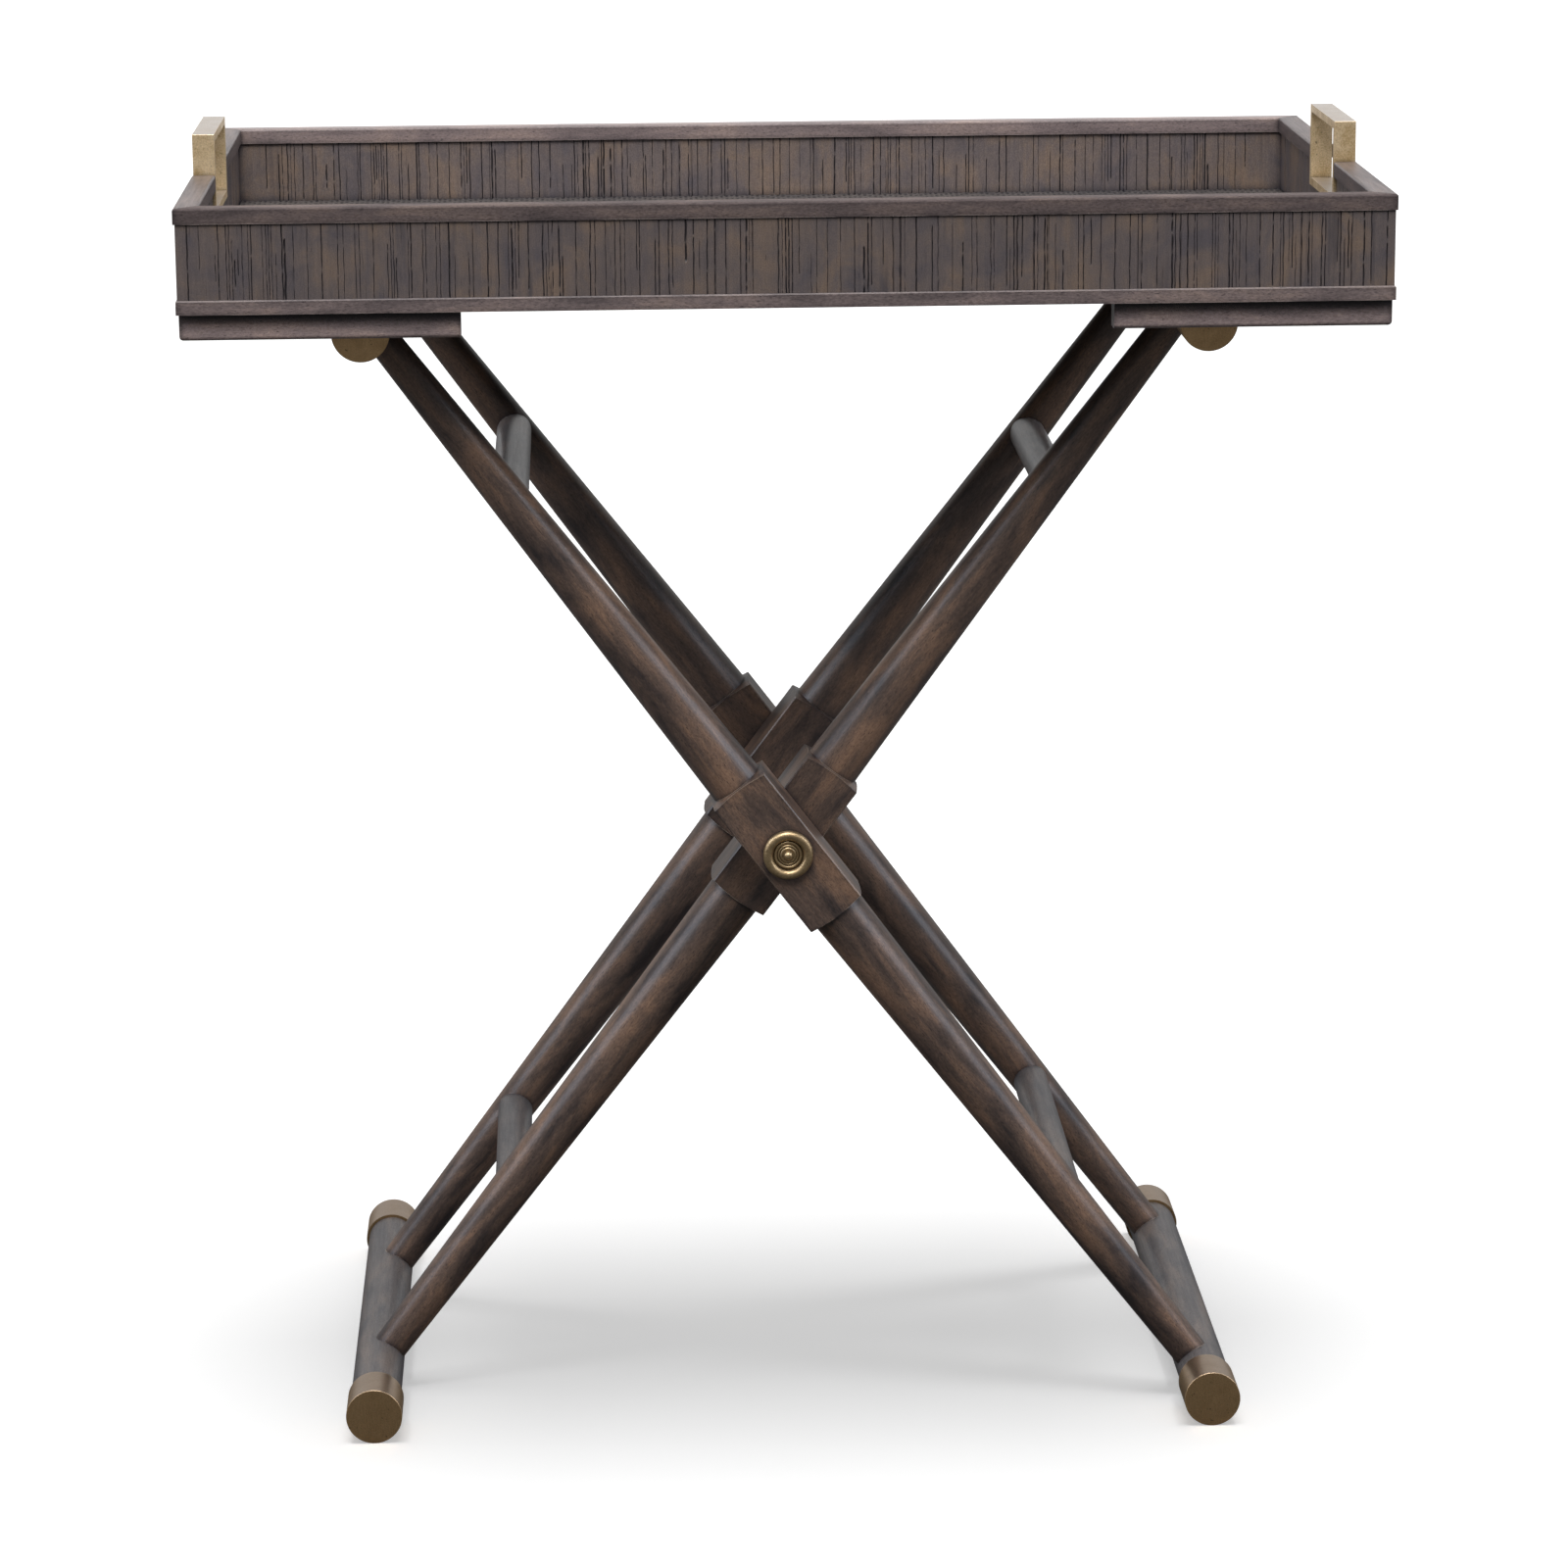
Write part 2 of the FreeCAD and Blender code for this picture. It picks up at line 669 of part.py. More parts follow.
def make_handle(side):
    """Closed rectangular loop of brass bar, standing in the notch at the tray's end."""
    body = new_body(f"handle_{side}")
    bar = cell("handle_bar")
    handle_top = handle_bottom + cell("handle_height")
    outer_face = half_width - panel_inset
    width = cell("rail_width") - panel_inset
    loop = new_sketch(body, "YZ_Plane", SIDE_SIGNS[side] * (outer_face - width / 2))
    add_loop(loop, [(-handle_half, handle_bottom), (handle_half, handle_bottom),
                    (handle_half, handle_top), (-handle_half, handle_top)])
    reach = handle_half - bar
    add_loop(loop, [(-reach, handle_bottom + bar), (reach, handle_bottom + bar),
                    (reach, handle_top - bar), (-reach, handle_top - bar)])
    feature = pad(body, loop, width, symmetric=True)
    edges = edges_on(feature, lambda point: near(abs(point.y), handle_half.value)
                     and near(point.z, handle_top.value))
    edges = [name for name in edges if near(edge_length(feature, name), width.value)]
    dress(body, "Fillet", feature, edges, cell("handle_corner"))
    holes = new_sketch(body, "XY_Plane", handle_bottom)
    centre = half_width - panel_inset - cell("panel_thickness") / 2
    for sign in END_SIGNS.values():
        add_circle(holes, cell("screw_diameter"), SIDE_SIGNS[side] * centre,
                   sign * cell("handle_screw_spacing") / 2)
    pocket(body, holes, bar * 2)
    sink = {"Radius1": cell("screw_diameter") / 2, "Radius2": cell("screw_head_diameter") / 2,
            "Height": countersink_depth()}
    for sign in END_SIGNS.values():
        primitive(body, "SubtractiveCone", "XY_Plane", handle_bottom + bar - countersink_depth(), sink,
                  x=SIDE_SIGNS[side] * centre, y=sign * cell("handle_screw_spacing") / 2)
    return keep(body)


def edge_length(feature, name):
    return feature.Shape.getElement(name).Length


def countersink_depth():
    return (cell("screw_head_diameter") - cell("screw_diameter")) / 2


def make_screw(label, length, x, y, z, head_up):
    """Countersunk wood screw; its flat head is at z and the shank runs away from it."""
    body = new_body(label)
    shank = cell("screw_diameter") / 2
    head = cell("screw_head_diameter") / 2
    depth = countersink_depth()
    turn_about_axis(body, [(0, 0), (head, 0), (shank, -depth), (shank, shank * 2 - length),
                           (0, -length)])
    body.Placement.Rotation = Rotation(Vector(1, 0, 0), 0 if head_up else 180)
    for axis, size in (("x", x), ("y", y), ("z", z)):
        bind(body, f".Placement.Base.{axis}", size)
    return body


def make_handle_screws():
    centre = half_width - panel_inset - cell("panel_thickness") / 2
    height = handle_bottom + cell("handle_bar")
    screws = []
    for side, side_sign in SIDE_SIGNS.items():
        for end, end_sign in END_SIGNS.items():
            screws.append(make_screw(
                f"handle_screw_{side}_{end}", cell("handle_screw_length"), side_sign * centre,
                end_sign * cell("handle_screw_spacing") / 2, height, head_up=True))
    return group("handle_screws", screws)


# ---- rests under the tray ------------------------------------------------------------------

top_bar_x = upper_reach * lean_sine + cell("top_bar_offset") * lean_cosine
top_bar_z = hub_height + upper_reach * lean_cosine - cell("top_bar_offset") * lean_sine
rest_bearing_z = top_bar_z + bar_radius + cell("rest_gap")
rest_lip_inner = top_bar_x + bar_radius + cell("rest_gap")
rest_lip_centre = rest_lip_inner + cell("rest_lip") / 2
rest_lip_bottom = rest_bearing_z - cell("rest_drop")
rest_screw_tip = rest_lip_bottom + cell("rest_screw_length")


def rest_screw_places():
    places = []
    for side_sign in SIDE_SIGNS.values():
        for step in (-1, 0, 1):
            places.append((side_sign * rest_lip_centre, step * cell("rest_screw_spacing")))
    return places


def bar_strip(label, inner, outer, low):
    """Rectangular strip under the tray, along a top bar."""
    body = new_body(label)
    section = new_sketch(body, "XZ_Plane")
    add_loop(section, [(inner, tray_bottom), (outer, tray_bottom), (outer, low), (inner, low)])
    pad(body, section, cell("rest_length"), symmetric=True)
    return body


def make_bar_rest(side):
    """Leather strip that bears on a top bar, and the batten that stops the bar spreading."""
    sign = SIDE_SIGNS[side]
    keep(bar_strip(f"rest_leather_{side}", sign * (top_bar_x - cell("rest_bearing")),
                   sign * rest_lip_inner, rest_bearing_z))
    body = bar_strip(f"bar_rest_{side}", sign * rest_lip_inner,
                     sign * (rest_lip_inner + cell("rest_lip")), rest_lip_bottom)
    shank = {"Radius": cell("screw_diameter") / 2, "Height": tray_bottom - rest_lip_bottom}
    sink = {"Radius1": cell("screw_head_diameter") / 2, "Radius2": cell("screw_diameter") / 2,
            "Height": countersink_depth()}
    for step in (-1, 0, 1):
        place = {"x": sign * rest_lip_centre, "y": step * cell("rest_screw_spacing")}
        primitive(body, "SubtractiveCylinder", "XY_Plane", rest_lip_bottom, shank, **place)
        primitive(body, "SubtractiveCone", "XY_Plane", rest_lip_bottom, sink, **place)
    return keep(body)


def make_rest_screws():
    screws = []
    for number, (x, y) in enumerate(rest_screw_places(), start=1):
        screws.append(make_screw(
            f"rest_screw_{number}", cell("rest_screw_length"), x, y, rest_lip_bottom, head_up=False))
    return group("rest_screws", screws)


def make_tray():
    make_flat_panel("bottom_board", tray_bottom, board_top)
    make_flat_panel("woven_floor", board_top, board_top + cell("mat_thickness"))
    for side in ("front", "back", "left", "right"):
        make_panel(side)
        make_base_moulding(side)
    make_rail("front_rail", "front")
    make_rail("back_rail", "back")
    skirt_end = half_width - skirt_inset - cell("skirt_length")
    for side in SIDE_SIGNS:
        make_rail(f"{side}_rail_front", side, finish=-handle_half)
        make_rail(f"{side}_rail_back", side, start=handle_half)
        make_handle(side)
        make_skirt(f"skirt_{side}", side)
        make_bar_rest(side)
    for end in END_SIGNS:
        make_skirt(f"skirt_{end}_left", end, finish=-skirt_end)
        make_skirt(f"skirt_{end}_right", end, start=skirt_end)
    make_handle_screws()
    make_rest_screws()


# ---- build, check and write ----------------------------------------------------------------

def check_document():
    doc.recompute()
    for item in doc.Objects:
        if "Invalid" in item.State or "Error" in item.State:
            raise RuntimeError(f"{item.Label} failed: {item.State}")
    for item in nodes:
        if item.Shape.isNull() or not item.Shape.isValid() or not item.Shape.Solids:
            raise RuntimeError(f"{item.Label} has no valid solid")


def write_parts():
    os.makedirs("parts", exist_ok=True)
    for item in nodes:
        item.Shape.exportStep(os.path.join("parts", f"{item.Label}.step"))


for frame_name in FRAME_SIGNS:
    make_frame(frame_name)
for end_name in END_SIGNS:
    make_pivot(end_name)
make_tray()
check_document()
write_parts()
print(f"{len(nodes)} nodes written")
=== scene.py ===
"""A folding tray table's looks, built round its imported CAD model.

Lengths are in metres, in the part's own frame: +X right, +Y back, +Z up, the floor at 0.
Wood, brass and the woven mat are procedural. The scored panels and the mat are built here
as meshes and stand for their plain CAD solids; every other piece is the CAD one.
"""

import json
import math
import random

import bpy
from mathutils import Matrix, Vector, noise

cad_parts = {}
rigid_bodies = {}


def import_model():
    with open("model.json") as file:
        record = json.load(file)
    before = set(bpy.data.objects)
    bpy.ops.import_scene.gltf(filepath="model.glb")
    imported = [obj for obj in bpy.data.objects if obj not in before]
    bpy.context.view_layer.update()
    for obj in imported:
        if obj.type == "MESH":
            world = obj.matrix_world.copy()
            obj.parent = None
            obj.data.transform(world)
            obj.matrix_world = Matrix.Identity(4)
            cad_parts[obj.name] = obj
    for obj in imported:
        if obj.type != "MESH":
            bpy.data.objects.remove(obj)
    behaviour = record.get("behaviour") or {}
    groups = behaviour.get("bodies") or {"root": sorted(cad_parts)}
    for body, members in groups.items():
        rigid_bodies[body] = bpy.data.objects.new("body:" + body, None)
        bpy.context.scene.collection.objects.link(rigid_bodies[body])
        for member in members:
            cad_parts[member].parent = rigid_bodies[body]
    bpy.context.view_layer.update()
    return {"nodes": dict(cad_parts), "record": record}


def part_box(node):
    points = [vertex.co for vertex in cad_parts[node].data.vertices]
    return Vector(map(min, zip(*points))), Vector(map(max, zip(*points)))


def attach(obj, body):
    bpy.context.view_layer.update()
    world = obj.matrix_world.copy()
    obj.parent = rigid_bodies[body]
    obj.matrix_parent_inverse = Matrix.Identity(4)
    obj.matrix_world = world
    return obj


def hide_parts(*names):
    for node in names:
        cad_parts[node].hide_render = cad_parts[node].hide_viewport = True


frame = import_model()
NODES = frame["nodes"]
TRAY_NODES = frame["record"]["behaviour"]["bodies"]["tray"]
MM = 0.001

# Camera: where it stands, and how it is turned from looking level along +Y.
CAMERA_PLACE = Vector((-0.1308, -3.4159, 1.2185))
CAMERA_YAW = 0.03942  # towards +X
CAMERA_PITCH = 0.23645  # downwards
CAMERA_ROLL = 0.00731
LENS_MM = 118.22
SENSOR_MM = 36.0

# Light: a white studio, bright behind and dim in front, with soft boxes on the table.
SKY_SEEN = 1.0
SKY_FRONT, SKY_BACK = 0.24, 0.55
SUN_STRENGTH = 2.4
SUN_ANGLE = 34.0  # degrees across
WHITE, BLUISH = (1.0, 1.0, 1.0), (0.90, 0.96, 1.10)
# name: (direction from the table, half angle in degrees, radiance, colour, what it lights)
SOFT_BOXES = {
    "key": ((-0.05, -0.57, 0.82), 16.0, 12.5, WHITE, "all"),
    "left": ((-0.84, -0.28, 0.46), 18.0, 4.8, BLUISH, "all"),
    "right": ((0.84, -0.28, 0.46), 18.0, 4.8, BLUISH, "all"),
    "back": ((0.0, 0.95, 0.30), 22.0, 0.75, WHITE, "tray"),
}
BOX_DISTANCE = 4.0
BOX_AIM = Vector((0.0, 0.0, 0.45))
FLOOR_SEEN = 0.80  # how pale the floor looks
FLOOR_GLOW = 0.39  # lifts its shadows
FLOOR_BOUNCE = 0.14  # how much light it sends back up
FLOOR_HALF = 60.0


# ---------------------------------------------------------------- node trees


class Tree:
    """One material's node tree. Each method adds a node and returns its output socket."""

    def __init__(self, name):
        self.material = bpy.data.materials.new(name)
        self.material.use_nodes = True
        self.nodes = self.material.node_tree.nodes
        self.links = self.material.node_tree.links
        self.shader = self.nodes["Principled BSDF"]

    def node(self, kind, inputs=(), **settings):
        made = self.nodes.new("ShaderNode" + kind)
        for key, value in settings.items():
            setattr(made, key, value)
        for socket, value in dict(inputs).items():
            self.put(made.inputs[socket], value)
        return made

    def put(self, socket, value):
        if isinstance(value, bpy.types.NodeSocket):
            self.links.new(value, socket)
        else:
            socket.default_value = value

    def surface(self, **inputs):
        """Sets the surface shader's inputs; a name's underscores stand for spaces."""
        for key, value in inputs.items():
            self.put(self.shader.inputs[key.replace("_", " ")], value)

    def place(self):
        return self.node("TexCoord").outputs["Object"]

    def turned(self, vector, turn=(0, 0, 0), stretch=(1, 1, 1), shift=(0, 0, 0)):
        """The place, turned so that the grain runs along X, then stretched."""
        turned = self.node("Mapping", {"Vector": vector, "Rotation": turn, "Location": shift})
        return self.node("Mapping", {"Vector": turned.outputs[0], "Scale": stretch}).outputs[0]

    def noise(self, vector, scale, detail=3.0, rough=0.5, distortion=0.0):
        inputs = {"Vector": vector, "Scale": scale, "Detail": detail}
        inputs.update({"Roughness": rough, "Distortion": distortion})
        return self.node("TexNoise", inputs).outputs["Fac"]

    def ramp(self, factor, *stops):
        """A colour ramp. A stop is (place, grey) or (place, (red, green, blue))."""
        made = self.node("ValToRGB", {"Fac": factor})
        bar = made.color_ramp.elements
        while len(bar) < len(stops):
            bar.new(0.5)
        for element, (at, colour) in zip(bar, stops):
            element.position = at
            element.color = (*colour, 1) if isinstance(colour, tuple) else (colour, colour, colour, 1)
        return made.outputs["Color"]

    def mix(self, factor, a, b, blend="MIX"):
        made = self.node("MixRGB", {"Fac": factor}, blend_type=blend)
        for socket, value in (("Color1", a), ("Color2", b)):
            self.put(made.inputs[socket], (*value, 1) if isinstance(value, tuple) else value)
        return made.outputs["Color"]

    def math(self, operation, a, b=0.0, clamp=False):
        made = self.node("Math", operation=operation, use_clamp=clamp)
        self.put(made.inputs[0], a)
        self.put(made.inputs[1], b)
        return made.outputs[0]

    def attribute(self, name):
        return self.node("Attribute", attribute_name=name).outputs["Fac"]

    def bump(self, height, depth, strength=1.0, under=None):
        inputs = {"Height": height, "Distance": depth, "Strength": strength}
        if under is not None:
            inputs["Normal"] = under
        return self.node("Bump", inputs).outputs["Normal"]

    def edges(self, width):
        """1 on an outer or inner edge, falling to 0 a width away."""
        rounded = self.node("Bevel", {"Radius": width}, samples=4).outputs["Normal"]
        flat = self.node("NewGeometry").outputs["Normal"]
        along = self.node("VectorMath", {0: rounded, 1: flat}, operation="DOT_PRODUCT")
        return self.ramp(along.outputs["Value"], (0.84, 1.0), (0.985, 0.0))

    def upward(self):
        """1 on faces that look up, 0 on upright ones."""
        normal = self.node("NewGeometry").outputs["Normal"]
        up = self.node("SeparateXYZ", {0: normal}).outputs["Z"]
        return self.ramp(up, (0.25, 0.0), (0.9, 1.0))

    def crevices(self, reach, deep=0.25, shallow=0.80):
        """1 deep in a corner or joint, falling to 0 in the open."""
        made = self.node("AmbientOcclusion", {"Distance": reach}, samples=6)
        return self.ramp(made.outputs["AO"], (deep, 1.0), (shallow, 0.0))


# ---------------------------------------------------------------- materials

ALONG_X = (0.0, 0.0, 0.0)
ALONG_Y = (0.0, 0.0, math.radians(-90))
ALONG_Z = (0.0, math.radians(90), 0.0)


# A stain is dark, middle and light, then the worn edge. A tone adds roughness from and to, and IOR.
TRAY_STAIN = ((0.050, 0.039, 0.038), (0.074, 0.057, 0.054), (0.104, 0.077, 0.067), (0.24, 0.20, 0.18))
LEG_STAIN = ((0.026, 0.020, 0.019), (0.078, 0.052, 0.040), (0.146, 0.088, 0.058), (0.30, 0.24, 0.18))
BAR_STAIN = ((0.048, 0.046, 0.048), (0.072, 0.065, 0.063), (0.102, 0.084, 0.074), (0.30, 0.26, 0.22))
TRAY_TONE = (*TRAY_STAIN, 0.50, 0.40, 1.34)
FRONT_TONE = (*TRAY_STAIN, 0.70, 0.60, 1.17)
LEG_TONE = (*LEG_STAIN, 0.40, 0.30, 1.42)
BAR_TONE = (*BAR_STAIN, 0.46, 0.36, 1.42)
STRETCHER_TONE = (*BAR_STAIN, 0.38, 0.28, 1.65)


def stained_wood(name, turn, seed, tone, value=1.0, shaded=False):
    """Dark stained hardwood with a satin varnish: mottled brown over a darker grain."""
    dark, middle, light, worn_colour, rough_high, rough_low, ior = tone
    t = Tree(name)
    place = t.place()
    shift = (seed * 1.37 % 5, seed * 2.11 % 5, seed * 0.73 % 5)
    mottle = t.noise(t.turned(place, turn, (14, 60, 60), shift), 1.0, 5, 0.64, 0.4)
    streak = t.noise(t.turned(place, turn, (24, 520, 520), shift), 1.0, 4, 0.62, 0.3)
    fibre = t.noise(t.turned(place, turn, (150, 2900, 2900), shift), 1.0, 2, 0.6)
    speck = t.noise(t.turned(place, turn, (480, 1150, 1150), shift), 1.0, 3, 0.7)
    pores = t.noise(t.turned(place, turn, (300, 2100, 2100), shift), 1.0, 1, 0.5)

    base = t.ramp(mottle, (0.34, dark), (0.50, middle), (0.66, light))
    streaks = t.ramp(streak, (0.30, (0.50, 0.49, 0.52)), (0.70, (1.5, 1.45, 1.4)))
    base = t.mix(0.20, base, streaks, "MULTIPLY")
    base = t.mix(0.18, base, t.ramp(fibre, (0.30, 0.5), (0.70, 1.5)), "MULTIPLY")
    base = t.mix(0.42, base, t.ramp(speck, (0.34, 0.4), (0.66, 1.6)), "MULTIPLY")
    base = t.mix(t.ramp(pores, (0.29, 0.75), (0.35, 0.0)), base, (0.010, 0.008, 0.008))
    # value scales the whole piece's colour; the pieces made lighter this way carry painted light, to
    # look as bright as they do in this light
    if value != 1.0:
        base = t.mix(1.0, base, (value, value, value), "MULTIPLY")
    # painted shade: darker in corners and joints; on the skirts, a painted shadow under the base
    # moulding's ledge
    painted_shade = t.crevices(16 * MM, 0.79, 0.95) if shaded else t.crevices(7 * MM, 0.35, 0.86)
    base = t.mix(painted_shade, base, (0.008, 0.007, 0.010))
    # darker within 5 mm of each edge, broken up by the specks
    darker_by_edges = t.math("MULTIPLY", t.edges(5 * MM), t.ramp(speck, (0.3, 0.75), (0.7, 0.35)))
    base = t.mix(darker_by_edges, base, (0.016, 0.013, 0.014))
    worn = t.math("MULTIPLY", t.edges(0.7 * MM), t.ramp(mottle, (0.46, 0.0), (0.54, 0.9)))
    base = t.mix(worn, base, worn_colour)

    height = t.math("ADD", t.math("MULTIPLY", fibre, 0.4), t.math("MULTIPLY", streak, 0.6))
    bump = t.bump(height, 0.10 * MM, 0.6)
    bump = t.bump(mottle, 1.0 * MM, 0.03, bump)
    rough = t.ramp(streak, (0.25, rough_high), (0.75, rough_low))
    t.surface(Base_Color=base, Roughness=rough, IOR=ior, Normal=bump)
    return t.material


def scored_veneer(name, turn, seed, value=1.0):
    """The panels' finish: grey-brown stain, bluish in bands, with crisp dark scored lines."""
    t = Tree(name)
    place = t.place()
    shift = (seed * 1.9 % 5, seed * 0.7 % 5, seed * 2.3 % 5)
    cloud = t.noise(t.turned(place, turn, (24, 30, 30), shift), 1.0, 5, 0.62, 0.5)
    bands = t.noise(t.turned(place, turn, (5, 75, 75), shift), 1.0, 3, 0.55, 0.4)
    streak = t.noise(t.turned(place, turn, (18, 460, 460), shift), 1.0, 4, 0.62, 0.2)
    hair = t.noise(t.turned(place, turn, (26, 900, 900), shift), 1.0, 3, 0.6, 0.6)
    fibre = t.noise(t.turned(place, turn, (170, 2700, 2700), shift), 1.0, 2, 0.6)
    speck = t.noise(t.turned(place, turn, (1300, 2200, 2200), shift), 1.0, 2, 0.6)
    strip = t.attribute("strip")
    score = t.attribute("score")

    cool, grey, warm = (0.058, 0.049, 0.052), (0.082, 0.064, 0.058), (0.112, 0.079, 0.059)
    tint = t.math("ADD", t.math("MULTIPLY", cloud, 0.94), t.math("MULTIPLY", strip, 0.06))
    base = t.ramp(tint, (0.34, cool), (0.50, grey), (0.66, warm))
    base = t.mix(0.16, base, t.ramp(streak, (0.30, 0.45), (0.70, 1.5)), "MULTIPLY")
    base = t.mix(0.18, base, t.ramp(fibre, (0.30, 0.5), (0.70, 1.5)), "MULTIPLY")
    base = t.mix(0.36, base, t.ramp(speck, (0.34, 0.4), (0.66, 1.6)), "MULTIPLY")
    base = t.mix(t.ramp(bands, (0.61, 0.0), (0.70, 0.55)), base, (0.026, 0.024, 0.029))
    base = t.mix(t.ramp(hair, (0.27, 0.7), (0.33, 0.0)), base, (0.014, 0.012, 0.014))
    # painted light: value scales the whole panel's colour, so that the back panel looks as bright as
    # it does in this light
    if value != 1.0:
        base = t.mix(1.0, base, (value, value, value), "MULTIPLY")
    # painted shade: bluish dark in the corners and joints, where the panel meets the rail and the
    # base
    base = t.mix(t.math("MULTIPLY", t.crevices(9 * MM), 0.95), base, (0.010, 0.010, 0.015))
    line, fade = t.ramp(score, (0.25, 0.0), (0.6, 1.0)), t.ramp(speck, (0.3, 1.0), (0.75, 0.75))
    ink = t.math("MULTIPLY", line, fade, clamp=True)
    base = t.mix(ink, base, (0.006, 0.005, 0.006))

    height = t.math("ADD", t.math("MULTIPLY", fibre, 0.5), t.math("MULTIPLY", streak, 0.5))
    bump = t.bump(height, 0.14 * MM, 0.6)
    rough = t.ramp(streak, (0.25, 0.55), (0.75, 0.42))
    t.surface(Base_Color=base, Roughness=rough, IOR=1.36, Normal=bump)
    return t.material


def woven_mat(name):
    """Fine dark fibre strands; the weave itself is in the mesh."""
    t = Tree(name)
    place = t.place()
    cloud = t.noise(t.turned(place, stretch=(14, 14, 14)), 1.0, 3, 0.5)
    fibre_x = t.noise(t.turned(place, stretch=(250, 3200, 900)), 1.0, 2, 0.6)
    fibre_y = t.noise(t.turned(place, stretch=(3200, 250, 900)), 1.0, 2, 0.6)
    weft = t.attribute("weft")
    fibre = t.mix(weft, fibre_y, fibre_x)
    hollow = t.attribute("hollow")
    base = t.ramp(cloud, (0.30, (0.030, 0.027, 0.029)), (0.70, (0.068, 0.056, 0.050)))
    base = t.mix(0.5, base, t.ramp(fibre, (0.30, 0.45), (0.70, 1.6)), "MULTIPLY")
    base = t.mix(t.math("MULTIPLY", t.attribute("strand"), 0.5), base, (0.095, 0.082, 0.076))
    # painted shade: near black at the low points between the strands
    base = t.mix(hollow, base, (0.008, 0.007, 0.008))
    # painted shade: darker where the mat meets the panels
    base = t.mix(t.math("MULTIPLY", t.crevices(9 * MM), 0.8), base, (0.012, 0.012, 0.014))
    bump = t.bump(fibre, 0.12 * MM, 0.7)
    t.surface(Base_Color=base, Roughness=0.55, IOR=1.36, Normal=bump)
    return t.material


def antique_brass(
    name, seed, bright, dark, patina=0.5, rough=0.36, hollow=5 * MM, top_sheen=0.6, rim=0.45, dull=0.0
):
    """Aged brass: speckled where it is handled, dark in its recesses, with a painted sheen of pale
    grey on its upward faces.

    rim is how bright its edges are, and dull is how much of their metal shine is gone.
    """
    t = Tree(name)
    place = t.place()
    shift = (seed * 1.7 % 5, seed * 2.9 % 5, seed * 0.9 % 5)
    cloud = t.noise(t.turned(place, stretch=(60, 60, 60), shift=shift), 1.0, 4, 0.6, 0.5)
    speck = t.noise(t.turned(place, stretch=(1100, 1100, 1100), shift=shift), 1.0, 3, 0.65)
    brushed = t.noise(t.turned(place, stretch=(2200, 2200, 160), shift=shift), 1.0, 2, 0.6)
    spots = t.noise(t.turned(place, stretch=(330, 330, 330), shift=shift), 1.0, 2, 0.6)
    tarnish = t.math("ADD", t.math("MULTIPLY", cloud, 0.5), t.math("MULTIPLY", speck, 0.5))
    base = t.ramp(tarnish, (0.38, dark), (0.60, bright))
    base = t.mix(0.2, base, t.ramp(brushed, (0.3, 0.6), (0.7, 1.4)), "MULTIPLY")
    base = t.mix(t.ramp(spots, (0.27, 0.7), (0.33, 0.0)), base, tuple(0.4 * c for c in dark))
    # painted sheen: upward faces turned pale grey, standing in for the bright overhead they reflect
    painted_sheen = t.math("MULTIPLY", t.upward(), t.ramp(cloud, (0.3, 0.85 * top_sheen), (0.7, top_sheen)))
    base = t.mix(painted_sheen, base, (0.24, 0.235, 0.25))
    edge = t.edges(0.7 * MM)
    base = t.mix(t.math("MULTIPLY", edge, 0.8), base, tuple(rim * c for c in bright))
    base = t.mix(t.math("MULTIPLY", t.crevices(hollow), patina), base, tuple(0.12 * c for c in dark))
    bump = t.bump(speck, 0.12 * MM, 0.7)
    bump = t.bump(cloud, 0.6 * MM, 0.25, bump)
    shine = t.ramp(tarnish, (0.3, rough + 0.12), (0.7, rough))
    shine = t.math("ADD", shine, t.math("MULTIPLY", edge, 0.3))
    metal = t.math("SUBTRACT", 1.0, t.math("MULTIPLY", edge, dull))
    t.surface(Base_Color=base, Metallic=metal, Roughness=shine, Normal=bump)
    t.surface(Coat_Weight=0.25, Coat_Roughness=0.3)
    return t.material


def steel(name):
    """Brushed zinc-grey steel of the hidden bolts, inserts and screws."""
    t = Tree(name)
    place = t.place()
    brushed = t.noise(t.turned(place, stretch=(300, 2500, 300)), 1.0, 3, 0.6)
    base = t.ramp(brushed, (0.3, (0.30, 0.29, 0.28)), (0.7, (0.52, 0.51, 0.50)))
    # painted shade: darker in its crevices
    base = t.mix(t.crevices(3 * MM), base, (0.06, 0.055, 0.05))
    t.surface(Base_Color=base, Metallic=1.0, Roughness=0.38, Normal=t.bump(brushed, 0.05 * MM, 0.5))
    return t.material


def nylon(name):
    """Black nylon washers."""
    t = Tree(name)
    grain = t.noise(t.turned(t.place(), stretch=(1500, 1500, 1500)), 1.0, 2, 0.5)
    base = t.ramp(grain, (0.3, (0.012, 0.012, 0.013)), (0.7, (0.022, 0.022, 0.024)))
    t.surface(Base_Color=base, Roughness=0.5, Normal=t.bump(grain, 0.05 * MM, 0.4))
    return t.material


def hide(name):
    """Dark brown leather of the strips that lie on the top bars."""
    t = Tree(name)
    grain = t.noise(t.turned(t.place(), stretch=(700, 700, 700)), 1.0, 3, 0.6, 0.5)
    base = t.ramp(grain, (0.3, (0.020, 0.014, 0.011)), (0.7, (0.048, 0.034, 0.026)))
    t.surface(Base_Color=base, Roughness=0.6, Normal=t.bump(grain, 0.15 * MM, 0.6))
    return t.material


# ---------------------------------------------------------------- scored panels


# share of the lines up to this kind, width in mm, depth in mm: heavy, medium and faint
SCORE_KINDS = (
    (0.16, (1.00, 1.45), (0.6, 0.9)),
    (0.62, (0.68, 1.00), (0.45, 0.70)),
    (1.01, (0.48, 0.72), (0.25, 0.40)),
)
WOBBLE = 0.45 * MM  # how far a line strays sideways
STRIP_RELIEF = 0.06 * MM  # height between one strip and the next
PANEL_ROWS = 26


